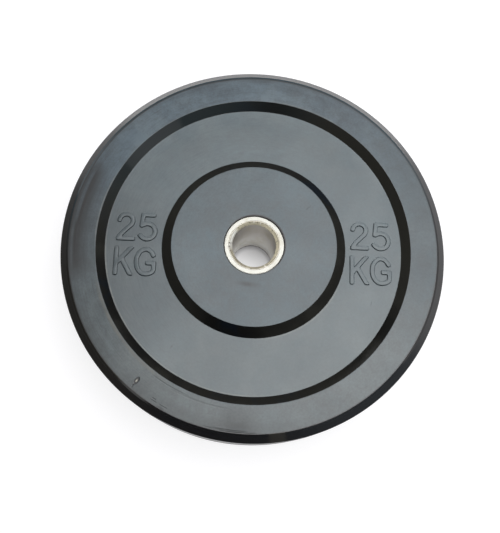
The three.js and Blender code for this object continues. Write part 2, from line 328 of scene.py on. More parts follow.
def arc(centre, radii, start_degrees, end_degrees, steps=30):
    points = []
    for step in range(steps + 1):
        angle = math.radians(start_degrees + (end_degrees - start_degrees) * step / steps)
        points.append(centre + Vector((radii[0] * math.cos(angle), radii[1] * math.sin(angle))))
    return points


def eased(points, steps=12):
    """Points on the smooth curve that its control points pull."""
    made = []
    for step in range(1, steps + 1):
        row = list(points)
        while len(row) > 1:
            row = [a.lerp(b, step / steps) for a, b in zip(row, row[1:])]
        made.append(row[0])
    return made


class Strokes:
    """Draws the strokes of one set of figures."""

    def __init__(self, sizes):
        self.height = sizes.height
        self.stroke = sizes.stroke
        self.half = sizes.stroke / 2
        self.corner = sizes.corner

    def at(self, x, y):
        return Vector((x, y)) * self.height

    def level(self, left, bottom, right):
        top = bottom + self.stroke
        corners = [Vector((left, bottom)), Vector((right, bottom)), Vector((right, top)), Vector((left, top))]
        return bent(corners, self.corner)

    def standing(self, root, tip):
        along = (tip - root).normalized()
        across = Vector((-along.y, along.x)) * self.half
        level = Vector((-self.half / along.y, 0))
        return bent([root - across, tip - level, tip + level, root + across], self.corner)

    def end(self, tip, along):
        right = Vector((along.y, -along.x))
        flat = self.half - self.corner
        points = []
        for side in (1, -1):
            for step in range(4):
                angle = (step if side > 0 else 3 - step) * math.pi / 6
                sideways = side * (flat + self.corner * math.cos(angle))
                points.append(tip + right * sideways + along * (flat + self.corner * math.sin(angle)))
        return points

    def curved(self, line):
        right_side, left_side = [], []
        for index in range(1, len(line) - 1):
            along = (line[index + 1] - line[index - 1]).normalized()
            right = Vector((along.y, -along.x)) * self.half
            right_side.append(line[index] + right)
            left_side.insert(0, line[index] - right)
        front = self.end(line[-1], (line[-1] - line[-2]).normalized())
        back = self.end(line[0], (line[0] - line[1]).normalized())
        return right_side + front + left_side + back

    def two(self):
        radius = 0.298 * self.height - self.half
        hook = arc(self.at(0.302, 0.702), (radius, radius), 174, -47)
        hook += eased([hook[-1], self.at(0.093, 0.189), self.at(0.08, 0.085)])
        return 0.628 * self.height, [self.curved(hook), self.level(0, 0, 0.628 * self.height)]

    def five(self):
        width = 0.64 * self.height
        outer = 0.343 * self.height
        bowl = arc(Vector((width - outer, outer)), (outer - self.half, outer - self.half), 128, -148)
        top = self.at(0.145, 1)
        stem = self.standing(self.at(0.098, 0.49), top)
        bar = self.level(top.x - self.half, self.height - self.stroke, 0.565 * self.height)
        return width, [self.curved(bowl), stem, bar]

    def kay(self):
        stem = self.standing(Vector((self.half, 0)), Vector((self.half, self.height)))
        arm = self.standing(Vector((self.half, 0.39 * self.height)), self.at(0.577, 1))
        leg = self.standing(self.at(0.247, 0.596), self.at(0.59, 0))
        return 0.651 * self.height, [stem, arm, leg]

    def gee(self):
        width = 0.733 * self.height
        centre = Vector((0.372 * self.height, self.height / 2))
        bowl = arc(centre, (centre.x - self.half, centre.y - self.half), 32, 270)
        foot = Vector((width - self.half, 0.247 * self.height))
        pull = Vector((centre.x + 0.189 * self.height, self.half))
        bowl += eased([bowl[-1], pull, foot - self.at(0, 0.102), foot])
        bar_top = 0.52 * self.height
        stem = self.standing(foot, Vector((foot.x, bar_top)))
        bar = self.level(0.378 * self.height, bar_top - self.stroke, width)
        return width, [self.curved(bowl), stem, bar]


def joined_outline(strokes):
    """The one outline round several strokes that overlap, counter-clockwise."""
    corners, faces = [], []
    for stroke in strokes:
        faces.append(list(range(len(corners), len(corners) + len(stroke))))
        corners += stroke
    points, _, triangles, *_ = delaunay_2d_cdt(corners, [], faces, 1, 1e-8)
    edges = {(here, after) for triangle in triangles for _, here, after in in_turn(triangle)}
    following = {a: b for a, b in edges if (b, a) not in edges}
    start = max(following, key=lambda i: points[i].x)
    loop, here = [], start
    while True:
        loop.append(points[here])
        here = following[here]
        if here == start:
            return loop


def evened(loop, spacing):
    """The same closed outline in even steps, with its corners softened a little."""
    runs = [(b - a).length for a, b in zip(loop, loop[1:] + loop[:1])]
    count = max(24, round(sum(runs) / spacing))
    points, index, passed = [], 0, 0.0
    for step in range(count):
        target = sum(runs) * step / count
        while passed + runs[index] < target:
            passed += runs[index]
            index += 1
        points.append(loop[index].lerp(loop[(index + 1) % len(loop)], (target - passed) / runs[index]))
    for _ in range(2):
        points = [(before + 2 * point + after) / 4 for before, point, after in in_turn(points)]
    return points


# Side of a figure from its foot to its top: how far out and up, in shares of how far it is raised
FIGURE_SIDE = (
    (0.45, -0.15), (0.34, 0.0), (0.16, 0.05), (0.05, 0.18), (0.0, 0.4),
    (-0.04, 0.65), (-0.10, 0.85), (-0.20, 0.96), (-0.34, 1.0),
)


def raised_figure(mesh, outline, corner, base, raised):
    """Adds one figure with drafted sides, a soft top edge and a small fillet at its foot."""
    sideways = []
    for before, _, after in in_turn(outline):
        along = (after - before).normalized()
        sideways.append(Vector((along.y, -along.x)))
    rings = []
    for out, up in FIGURE_SIDE:
        ring = []
        for point, side in zip(outline, sideways):
            place = corner + point + side * out * raised
            ring.append(mesh.verts.new((place.x, place.y, base + up * raised)))
        rings.append(ring)
    for lower, upper in zip(rings, rings[1:]):
        skinned(mesh, lower, upper)
    mesh.faces.new(rings[-1])
    mesh.faces.new(reversed(rings[0]))


# Materials


def arithmetic(operation, swapped=False):
    """One step of arithmetic, laid out as a node."""

    def step(tone, *others):
        values = (*others, tone) if swapped else (tone, *others)
        return tone.page.math(operation, *values)

    return step


class Tone:
    """A number that varies over a surface."""

    __add__ = __radd__ = arithmetic("ADD")
    __sub__ = arithmetic("SUBTRACT")
    __rsub__ = arithmetic("SUBTRACT", swapped=True)
    __mul__ = __rmul__ = arithmetic("MULTIPLY")
    __truediv__ = arithmetic("DIVIDE")
    __abs__ = arithmetic("ABSOLUTE")

    def __init__(self, page, socket):
        self.page = page
        self.socket = socket

    def ramp(self, low, high, to_low=0.0, to_high=1.0, kind="LINEAR"):
        """Maps low to high on to another range."""
        inputs = dict(enumerate((self, low, high, to_low, to_high)))
        node = self.page.add("ShaderNodeMapRange", inputs, interpolation_type=kind)
        return Tone(self.page, node.outputs[0])

    def spread(self, low, high, to_low=0.0, to_high=1.0):
        """The same with soft ends."""
        return self.ramp(low, high, to_low, to_high, "SMOOTHSTEP")

    def between(self, low, high):
        """A number between two, by a mask from 0 to 1."""
        return self.ramp(0, 1, low, high)


def distance(x, y):
    return x.page.math("SQRT", x * x + y * y)


def largest(tones):
    return reduce(lambda first, other: first.page.math("MAXIMUM", first, other), tones)


class Page:
    """Lays out the nodes of one material and joins them."""

    def __init__(self, tree):
        self.tree = tree
        tree.nodes.clear()

    def add(self, kind, inputs=(), **settings):
        node = self.tree.nodes.new(kind)
        for name, value in settings.items():
            setattr(node, name, value)
        for name, value in dict(inputs).items():
            value = value.socket if isinstance(value, Tone) else value
            if isinstance(value, bpy.types.NodeSocket):
                self.tree.links.new(value, node.inputs[name])
            else:
                node.inputs[name].default_value = value
        return node

    def math(self, operation, *values):
        return Tone(self, self.add("ShaderNodeMath", dict(enumerate(values)), operation=operation).outputs[0])

    def show(self, shader, kind="ShaderNodeOutputMaterial"):
        self.add(kind, {"Surface": shader.outputs[0]})

    def noise(self, scale, detail, roughness=0.5, distortion=0.0, vector=None):
        """Noise by place, or by another vector."""
        inputs = {
            "Vector": self.point if vector is None else vector,
            "Scale": scale, "Detail": detail, "Roughness": roughness, "Distortion": distortion,
        }
        return Tone(self, self.add("ShaderNodeTexNoise", inputs).outputs["Fac"])

    def streaks(self, along, across, detail, roughness):
        """Noise that runs in streaks round the plate's axis."""
        inputs = {0: self.round_x * along, 1: self.round_y * along, 2: across}
        vector = self.add("ShaderNodeCombineXYZ", inputs).outputs[0]
        return self.noise(1, detail, roughness, vector=vector)

    def blend(self, factor, first, second):
        """Blends two colours."""
        return self.add("ShaderNodeMix", {"Factor": factor, 6: first, 7: second}, data_type="RGBA").outputs[2]

    def brightened(self, paint, factor):
        """A colour times a number."""
        return self.add("ShaderNodeVectorMath", {0: paint, "Scale": factor}, operation="SCALE").outputs[0]

    def find_place(self):
        """Keeps the surface's place and slant, and its distance and direction from the plate's axis."""
        source = self.add("ShaderNodeTexCoord")
        self.point = source.outputs["Object"]
        place = self.add("ShaderNodeSeparateXYZ", {0: self.point})
        self.x, self.y, self.z = (Tone(self, socket) for socket in place.outputs)
        facing = self.add("ShaderNodeSeparateXYZ", {0: source.outputs["Normal"]})
        self.level = abs(Tone(self, facing.outputs["Z"]))
        self.radius = distance(self.x, self.y)
        self.round_x = self.x / self.radius
        self.round_y = self.y / self.radius
        self.front = self.z.spread(*FRONT_HALF)

    def toward(self, degrees):
        """How nearly a point lies in one direction from the plate's axis, from -1 to 1."""
        angle = math.radians(degrees)
        return self.round_x * math.cos(angle) + self.round_y * math.sin(angle)

    def side(self, degrees, start, end, low=0.0, high=1.0):
        """A tone that lies toward one direction."""
        return self.toward(degrees).spread(start, end, low, high)

    def sides(self, rows):
        """Several such tones together."""
        return sum(self.side(*row) for row in rows)

    def outward(self, start, end, low=0.0, high=1.0):
        """A tone that changes with the distance from the axis."""
        return self.radius.spread(start, end, low, high)

    def spot(self, x, y, long, wide, degrees, softness=0.0):
        """A small oval mark at one place, turned by an angle."""
        cos, sin = math.cos(math.radians(degrees)), math.sin(math.radians(degrees))
        right, up = self.x - x, self.y - y
        along = right * (cos / long) + up * (sin / long)
        across = right * (-sin / wide) + up * (cos / wide)
        return distance(along, across).spread(1.0, softness)

    def line(self, radius, degrees, half_span, half_width):
        """A soft line that runs round the plate's axis for a few degrees."""
        ends = [math.cos(math.radians(half_span * part)) for part in LINE_ENDS]
        across = abs(self.radius - radius).spread(half_width, half_width * LINE_CORE)
        return across * self.side(degrees, *ends)

    def spots(self, rows):
        return largest(self.spot(*shape) * strength for *shape, strength in rows)

    def lines(self, rows):
        return largest(self.line(*shape) * strength for *shape, strength in rows)

    def shine(self, paint, glow, level):
        """Shows a matt surface with a glow on top."""
        matt = self.add("ShaderNodeBsdfDiffuse", {"Color": paint})
        light = self.add("ShaderNodeEmission", {"Color": glow, "Strength": level})
        self.show(self.add("ShaderNodeAddShader", {0: matt.outputs[0], 1: light.outputs[0]}))

    def finish(self, paint, rough, metallic, height, bump=1.0, other=()):
        """Shows a surface of this colour, roughness and height."""
        relief = self.add("ShaderNodeBump", {"Height": height, "Distance": 1.0, "Strength": bump})
        inputs = {"Base Color": paint, "Roughness": rough, "Metallic": metallic, "Normal": relief.outputs[0]}
        self.show(self.add("ShaderNodeBsdfPrincipled", {**inputs, **dict(other)}))


def new_material(name):
    material = bpy.data.materials.new(name)
    material.use_nodes = True
    page = Page(material.node_tree)
    page.find_place()
    return material, page


# Heights between which the marks of this one plate come in, so that its rear stays plain
FRONT_HALF = (0.040, 0.055)

# Where a line round the axis starts to fade, as shares of its half span and half width
LINE_ENDS = (1.0, 0.55)
LINE_CORE = 0.3

# Marks: centre x and y, half length, half width, turn in degrees, strength

SMUDGES = (
    (-0.0125, -0.2035, 0.0330, 0.0230, 0, 0.60),
    (-0.0058, -0.0471, 0.0210, 0.0050, -6, 0.85),
    (-0.0970, -0.1900, 0.0070, 0.0030, -27, 0.8),
    (-0.0895, -0.1205, 0.0040, 0.0015, 60, 0.7),
    (-0.0360, 0.0930, 0.0300, 0.0120, 20, 0.35),
    (0.0400, 0.2000, 0.0250, 0.0120, -12, 0.35),
    (0.0040, 0.2115, 0.0300, 0.0060, 0, 0.55),
)
SCRATCHES = (
    (-0.1288, -0.1656, 0.0052, 0.0014, 52, 0.9),
    (0.0620, 0.0480, 0.0070, 0.0006, 40, 0.4),
    (0.1380, -0.0620, 0.0060, 0.0006, 75, 0.4),
)
MOUTH_NICKS = (
    (-0.0288, 0.0016, 0.0022, 0.0016, 0, 0.9),
    (-0.0288, -0.0030, 0.0020, 0.0016, 10, 0.9),
    (-0.0272, -0.0075, 0.0018, 0.0012, 25, 0.7),
    (-0.0030, -0.0284, 0.0016, 0.0016, 85, 0.9),
    (0.0030, 0.0278, 0.0016, 0.0010, 85, 0.7),
    (-0.0060, 0.0272, 0.0016, 0.0010, 100, 0.7),
    (0.0161, -0.0232, 0.0020, 0.0012, -50, 0.8),
    (0.0205, 0.0185, 0.0018, 0.0010, 40, 0.7),
    (-0.0190, 0.0203, 0.0018, 0.0012, 135, 0.7),
)
# Painted glints on the chamfer in the front mouth
MOUTH_GLINTS = (
    (-0.0012, 0.0281, 0.0018, 0.0010, 90, 1.0),
    (0.0066, 0.0272, 0.0022, 0.0010, 70, 1.0),
    (0.0132, -0.0246, 0.0026, 0.0012, -60, 0.9),
    (-0.0250, 0.0120, 0.0018, 0.0012, 150, 0.7),
)

# The one deep nick: centre x and y, half length, half width, turn in degrees, softness

NICK_BRUISE = (-0.1253, -0.1609, 0.0056, 0.0029, 52, 0.7)
NICK_CORE = (-0.1253, -0.1609, 0.0023, 0.0010, 52, 0.5)

# Lines round the axis: radius, direction in degrees, half span in degrees, half width, strength

ARC_SCRATCHES = (
    (0.2138, -93.5, 7.0, 0.0008, 0.75),
    (0.2121, -95.5, 6.0, 0.0008, 0.65),
    (0.2130, -101.0, 3.0, 0.0008, 0.50),
    (0.1896, -107.0, 12.0, 0.0014, 0.22),
    (0.1880, -118.0, 8.0, 0.0012, 0.28),
    (0.2106, -116.7, 1.6, 0.0009, 0.45),
    (0.2106, -120.0, 1.3, 0.0009, 0.40),
    (0.2082, -120.3, 0.8, 0.0009, 0.50),
)
CLEAR_LINES = (
    (0.2092, 165.0, 11.0, 0.0026, 0.60),
    (0.2110, 181.0, 10.0, 0.0018, 0.35),
)
SWIRLS = (
    (0.1215, 93.0, 12.0, 0.0035, 0.13),
    (0.1265, 84.0, 11.0, 0.0030, 0.12),
    (0.1175, 78.0, 10.0, 0.0028, 0.12),
    (0.1320, 72.0, 9.0, 0.0030, 0.08),
    (0.1980, -106.0, 12.0, 0.0060, 0.05),
)

# Tones by direction: degrees, how nearly a point lies there at the tone's start and end, and its levels

# The faces stop short of the rim's outer edge toward the near side, moving the painted dark line there inward
DARK_LINE_SHIFT = (285, 0.1, 0.6, 0.0, 0.0008)
WEB_DUST = (285, 0.3, 0.8, 0.38, 0.68)
RIM_DUST = ((280, 0.2, 0.8, 0.0, 0.85), (213, 0.55, 0.9, 0.0, 0.33))
# Painted light and shade on the faces: the rim and web lighter toward the far side and the right, darker
# toward the lower left and the left
RIM_TONES = ((214, 0.82, 0.98, -0.12, -0.19), (133, 0.90, 0.99, 0.0, 0.15), (303, 0.85, 0.97, 0.0, 0.09))
FAR_RIM_LIGHT = (120, 0.3, 0.9)
RIGHT_RIM_LIGHT = (40, 0.60, 0.95)
FAR_WEB_LIGHT = (90, 0.2, 0.8, 0.0, 0.17)
LEFT_WEB_SHADE = (190, 0.70, 0.98)
COOL_RIM = (110, -0.2, 0.7)
# Painted shade on the left rim, darker toward its outer edge, where the rubber is also rubbed glossier
DULLED_SHADED_LEFT = (173, 0.925, 0.968)
STREAKED_LEFT = (150, -0.3, 0.5, 0.15, 1.0)
# Painted dark line along the rim's outer edge, strongest toward the far left
DARK_LINE_SIDE = (130, -0.4, 0.5)
HANDLED_SIDE = (225, 0.28, 0.6)
# Pale dust on the shoulder toward the far side, partly painted light
SHOULDER_DUST_AND_LIGHT = (98, -0.1, 0.6, 0.0, 0.58)
STAINED_SIDE = (217, 0.90, 0.98)
# Brown grime on the bevel toward the lower left, and a narrow painted glint at -81.5 degrees
BEVEL_GRIME_AND_GLINT = ((203, 0.70, 0.97, 0.0, 0.10), (-81.5, 0.9985, 0.9998, 0.0, 0.14))
HUB_FILM = ((-25, 0.3, 0.9, 0.0, 0.58), (178, 0.4, 0.95, 0.0, 0.65), (150, -0.2, 0.6, 0.0, 0.30))
RIM_FILM = ((135, 0.5, 0.95, 0.0, 0.9), (28, 0.5, 0.85), (280, 0.6, 0.95, 0.0, 0.42))
COOL_FILM = (118, 0.5, 0.95)
PALE_PATCH = ((135, 0.967, 0.978), (134, 0.97, 1.0, 0.65, 1.0))
# Painted shade: the slopes' film clouds fade out toward the far side
SHADED_FAR_SIDE = (90, 0.6, 0.0)
MOUTH_GRIME = (245, 0.0, 0.9, 0.0, 0.82)
# The chamfer's inner edge darker brown toward the left
INNER_EDGE_DARKENING = (20, -0.2, 0.7, 1.0, 0.0)
# Painted light on the chamfer in each mouth: brighter toward the right, and bright steel toward the left,
# partly cleaner steel and partly painted highlight
LIT_MOUTH = (22, 0.55, 0.90, 1.0, 1.42)
LEFT_MOUTH_HIGHLIGHT = (166, 0.84, 0.96, 0.0, 0.95)

# The bare lip round the steel is narrower toward this direction, by this much
LIP_SIDE = 228
LIP_SHIFT = 0.0010

# How many times its plain colour the bloom gets at its thickest
THICKEST = 1.3


def rubber_material(name, looks, levels, steepest, flattest):
    """Black rubber with a grey bloom on its flat faces, dust, streaks round the rim and a few scuffs."""
    material, page = new_material(name)
    side, outward = page.side, page.outward
    web_inner, web_outer = levels.web_inner, levels.web_outer
    rim_inner, rim_outer = levels.rim_inner, levels.rim_outer
    # The bloom stops at the rim's outer edge, sooner toward the near side: a painted dark line
    dark_line_edge = page.radius + side(*DARK_LINE_SHIFT)
    face = page.level.spread(steepest, flattest) * dark_line_edge.spread(rim_outer + 0.0005, rim_outer)
    web = outward(web_inner - 0.003, web_inner) * outward(web_outer + 0.003, web_outer)
    rim = outward(rim_inner - 0.001, rim_inner + 0.002) * face
    shoulder = outward(rim_outer - 0.0001, rim_outer + 0.0002)
    shoulder *= outward(levels.shoulder + 0.0001, levels.shoulder - 0.0002)
    lip = (page.radius + page.toward(LIP_SIDE) * LIP_SHIFT).spread(levels.lip, levels.lip + 0.0006)

    cloud = page.noise(14, 3, 0.5, 0.3)
    tint = page.noise(24, 3, 0.5, 0.5)
    wave = page.noise(30, 2)
    patches = page.noise(70, 4, 0.6, 0.6)
    specks = page.noise(420, 3, 0.6)
    grain = page.noise(1500, 2, 0.6)
    streaks = page.streaks(2.6, page.radius * 230, 4, 0.6)
    fine_streaks = page.streaks(9, page.radius * 900, 3, 0.55)
    worn = patches.spread(0.35, 0.6, 0.45, 1.0)
    streaked_left = side(*STREAKED_LEFT)
    dark_line_side = side(*DARK_LINE_SIDE)

    # How thick the bloom is, zone by zone, with painted light and shade on top: lighter toward the far side
    # and the right, the rim lightest at its inner edge there, and darker toward the left
    rim_tone_and_light = page.sides(RIM_TONES)
    rim_tone_and_light += side(*FAR_RIM_LIGHT) * outward(rim_inner + 0.002, rim_outer - 0.004, 0.34, 0.10)
    rim_tone_and_light += side(*RIGHT_RIM_LIGHT) * outward(rim_inner + 0.002, rim_inner + 0.016, 0.10, 0.0)
    web_tone_and_light = 0.12 + side(*FAR_WEB_LIGHT) * outward(web_outer - 0.025, web_outer)
    web_tone_and_light -= side(*LEFT_WEB_SHADE) * page.radius.ramp(web_inner, web_outer, 0.16, 0.37)
    zones_and_light = 0.88 + web * web_tone_and_light + rim * rim_tone_and_light + page.lines(SWIRLS) * patches.spread(0.35, 0.65)
    mottle = cloud.ramp(0.3, 0.7, -0.20, 0.20) + patches.ramp(0.32, 0.68, -0.20, 0.20)
    mottle += specks.ramp(0.3, 0.7, -0.15, 0.15)
    bloom = zones_and_light * (1.0 + mottle * web.between(1.0, 0.45))
    bloom -= fine_streaks.spread(0.35, 0.7, -0.05, 0.10) * streaked_left

    # What takes it off again, with painted shade on the left rim and a painted dark line along the rim's
    # outer edge
    # The left rim rubbed glossier and bare, partly painted shade that darkens toward its outer edge
    dulled_and_shaded = rim * side(*DULLED_SHADED_LEFT) * outward(rim_inner + 0.007, rim_inner + 0.022, 0.36, 1.0)
    dulled_and_shaded *= outward(rim_inner + 0.024, rim_inner + 0.028, 1.0, 0.85)
    dulled_and_shaded *= streaks.spread(0.35, 0.62, 0.86, 1.0) * (1.0 - page.lines(CLEAR_LINES))
    scratches = largest((page.spots(SCRATCHES), page.lines(ARC_SCRATCHES))) * page.front
    bruise = page.spot(*NICK_BRUISE) * page.front * 0.95
    for mask in (
        dulled_and_shaded, scratches, bruise,
        rim * streaks.spread(0.48, 0.66, 0.0, 0.16) * streaked_left,
        page.spots(SMUDGES) * worn * page.front,
        # Painted dark line: bare black rubber along the rim's outer edge, strongest toward the far left
        outward(rim_outer - 0.0050, rim_outer - 0.0010) * dark_line_side.between(0.05, 0.20),
        outward(rim_outer - 0.0018, rim_outer - 0.0006) * dark_line_side.between(0.30, 1.0),
        outward(rim_inner + 0.016, rim_inner + 0.0255, 0.0, 0.24) * side(*HANDLED_SIDE),
    ):
        bloom *= 1.0 - mask
    # The shoulder gets pale dust toward the far side, partly painted light
    bloom = largest((bloom * face * lip, shoulder * side(*SHOULDER_DUST_AND_LIGHT)))

    dust = web * side(*WEB_DUST) + rim * page.sides(RIM_DUST) + tint.ramp(0.32, 0.68, -0.16, 0.20)
    coat = page.blend(rim * side(*COOL_RIM), looks.rubber_bloom, looks.rubber_cool)
    coat = page.brightened(page.blend(dust, coat, looks.rubber_dust), THICKEST)
    paint = page.blend(bloom * (1 / THICKEST), looks.rubber_black, coat)

    # Painted highlights: thin pale lines along the edges of the web and the rim's inner edge
    edge_highlights = page.lines((
        (web_outer - 0.0011, 225, 62, 0.0008, 0.22),
        (web_inner + 0.0013, -54, 36, 0.0008, 0.20),
        (rim_inner + 0.0011, 168, 16, 0.0008, 0.16),
        (rim_inner + 0.0011, 72, 16, 0.0008, 0.12),
    ))
    stain = rim * outward(rim_inner + 0.0055, rim_inner + 0.0010) * side(*STAINED_SIDE)
    stain *= patches.spread(0.3, 0.6, 0.25, 0.55) * page.front
    bevel = (1.0 - face) * outward(rim_outer - 0.010, rim_outer - 0.005)
    for mask, tone in (
        (page.spot(*NICK_CORE) * page.front * 0.8, looks.rubber_scuff),
        (edge_highlights * face * worn, looks.rubber_scuff),
        (stain, looks.grime),
        # Grime on the bevel, with a painted glint
        (bevel * page.sides(BEVEL_GRIME_AND_GLINT), looks.grime),
    ):
        paint = page.blend(mask, paint, tone)

    rough = face.between(looks.bevel_roughness, looks.face_roughness) - dulled_and_shaded * 0.1 - shoulder * 0.20
    rough += patches.ramp(0.3, 0.7, -1.0, 1.0) * face.between(0.005, 0.04)
    height = wave * 0.00025 + grain * 0.000012 + fine_streaks * 0.00002
    height -= largest((scratches, bruise)) * 0.00035
    page.finish(paint, rough, 0.0, height, face.between(0.2, 1.0), {"IOR": looks.rubber_index})
    return material


def slope_material(looks, levels):
    """Deep black rubber of the slopes beside the webs, with faint brown and blue tints, and painted shade:
    film clouds fading toward the far side, and the hub's slope darkest toward the lower left.
    """
    material, page = new_material("slope_rubber")
    tint = page.noise(22, 3)
    grain = page.noise(1500, 2, 0.6)
    middle = (levels.web_inner + levels.web_outer) / 2
    by_rim = page.outward(middle, middle + 0.001)
    # The film's directions leave the hub's slope darkest toward the lower left, painted shade as well as film
    film = (1.0 - by_rim) * page.sides(HUB_FILM) + by_rim * page.sides(RIM_FILM)
    # Painted shade: the film's clouds fade out toward the far side
    film += tint.spread(0.50, 0.66, 0.0, 0.35) * page.side(*SHADED_FAR_SIDE)
    clean = page.blend(tint.spread(0.46, 0.36), looks.slope_black, looks.slope_blue)
    coat = page.blend(by_rim * page.side(*COOL_FILM), looks.slope_film, looks.slope_cool)
    patch = by_rim * page.side(*PALE_PATCH[0]) * page.side(*PALE_PATCH[1])
    paint = page.blend(patch, page.blend(film, clean, coat), looks.slope_patch)
    other = {"IOR": looks.rubber_index, "Specular IOR Level": looks.slope_gloss}
    page.finish(paint, tint.ramp(0.3, 0.7, 0.12, 0.18), 0.0, grain * 0.00001, 1.0, other)
    return material


def lathe_marks(page):
    """The fine rings that turning leaves."""
    return page.streaks(1.5, page.radius * 2600 + page.z * 1900, 2, 0.6)


def finish_steel(page, looks, paint, rough, metallic, marks):
    """Adds the nicks round the mouth and the depth of the lathe marks."""
    nicks = page.spots(MOUTH_NICKS) * page.front
    page.finish(page.blend(nicks, paint, looks.nick_dirt), rough, metallic, marks * 0.000012)


def tube_material(looks, half, mouth):
    """Dull steel of the bore with painted light from the floor below, lighter towards the rear, and stained
    and grimy chamfers.
    """
    material, page = new_material("bore_steel")
    stains = page.noise(90, 4, 0.6)
    # Painted light from the floor below: the wall turns toward the bright ring colour and is brightened near
    # the rear mouth
    paint = page.blend(page.z.spread(half * 1.5, half * 0.3, 0.0, 0.9), looks.bore_steel, looks.ring_steel)
    paint = page.brightened(paint, page.z.spread(0.010, 0.004, 1.0, 1.3))
    paint = page.blend(stains.spread(0.40, 0.66, 0.0, 0.35), paint, looks.chamfer_steel)

    chatter = page.streaks(16, page.radius * 300, 3, 0.6)
    worn = page.blend(chatter.spread(0.56, 0.72, 0.0, 0.75), looks.chamfer_steel, looks.buried_steel)
    # Painted light: the chamfer brighter toward the right
    worn = page.brightened(worn, page.side(*LIT_MOUTH))
    # Brown grime toward the lower left, a darker brown along the chamfer's inner edge toward the left, and a
    # broken grime line round its outer edge
    grime = largest((
        page.side(*MOUTH_GRIME) * stains.spread(0.3, 0.6, 0.6, 1.0),
        page.side(*INNER_EDGE_DARKENING) * page.outward(mouth - 0.0015, mouth - 0.0030, 0.0, 0.5),
        abs(page.radius - (mouth - 0.0004)).spread(0.0008, 0.0002) * stains.spread(0.42, 0.60, 0.0, 0.45),
    ))
    # Bright steel on the left of the chamfer, partly painted highlight, then grime and the painted glints
    for mask, tone in (
        (page.side(*LEFT_MOUTH_HIGHLIGHT), looks.ring_steel),
        (grime, looks.grime),
        (page.spots(MOUTH_GLINTS) * page.front, looks.ring_steel),
    ):
        worn = page.blend(mask, worn, tone)

    chamfer = page.level.spread(0.3, 0.6) * page.level.spread(0.97, 0.9)
    paint = page.blend(chamfer, paint, worn)
    rough = stains.ramp(0.3, 0.7, 0.34, 0.48) + chamfer * 0.2
    finish_steel(page, looks, paint, rough, chamfer.between(1.0, 0.25), lathe_marks(page))
    return material


def ring_material(looks):
    """Bright faced steel with a few pale stains."""
    material, page = new_material("ring_steel")
    marks = lathe_marks(page)
    stains = page.noise(90, 4, 0.6).spread(0.5, 0.75, 0.0, 0.35)
    paint = page.blend(stains, looks.ring_steel, looks.chamfer_steel)
    finish_steel(page, looks, paint, marks.ramp(0.3, 0.7, 0.78, 0.88), 1.0, marks)
    return material


def buried_material(looks):
    """Mill steel with blue-black scale, sealed inside the rubber."""
    material, page = new_material("buried_steel")
    scale = page.noise(160, 5, 0.65)
    paint = page.blend(scale.spread(0.35, 0.7), looks.buried_steel, looks.bore_steel)
    page.finish(paint, scale.ramp(0.3, 0.7, 0.45, 0.7), 1.0, scale * 0.00008)
    return material


# Operators

# Steps round the steel pieces and round each anchor hole
STEEL_SEGMENTS = 192
HOLE_SEGMENTS = 32

# How much longer than its hole the rubber in an anchor hole is, so that it joins the rest
HOLE_OVERLAP = 0.004

# Steps along an outline's long runs, and how close to their ends the extra points lie
RUBBER_STEPS = (0.006, 0.0004)
TUBE_STEPS = (0.008, 0.0002)
COLLAR_STEPS = (0.004, 0.0002)

# Rounding of the steel's edges
BROKEN_EDGE = 0.0002
SOFT_EDGE = 0.0003

# Width of the lip round the steel that stays without bloom
BARE_LIP = 0.0010

# Step along the outline of a figure
FIGURE_STEP = 0.0007

# Surfaces between these levels, from upright at 0 to flat at 1, turn from bare to bloomed rubber
FACE_LEVELS = (0.93, 0.99)
FIGURE_LEVELS = (0.25, 0.9)

# Surfaces between these levels beside a web are slopes
SLOPE_LEVELS = (0.3, 0.93)


class PlateOperator:
    """What every operator of the plate shares."""

    bl_options = {"REGISTER", "UNDO"}

    def levels(self, context):
        return plate_levels(context.scene.plate_sizes)

    def insert(self, context):
        return insert_levels(context.scene.insert_sizes, self.levels(context).half)


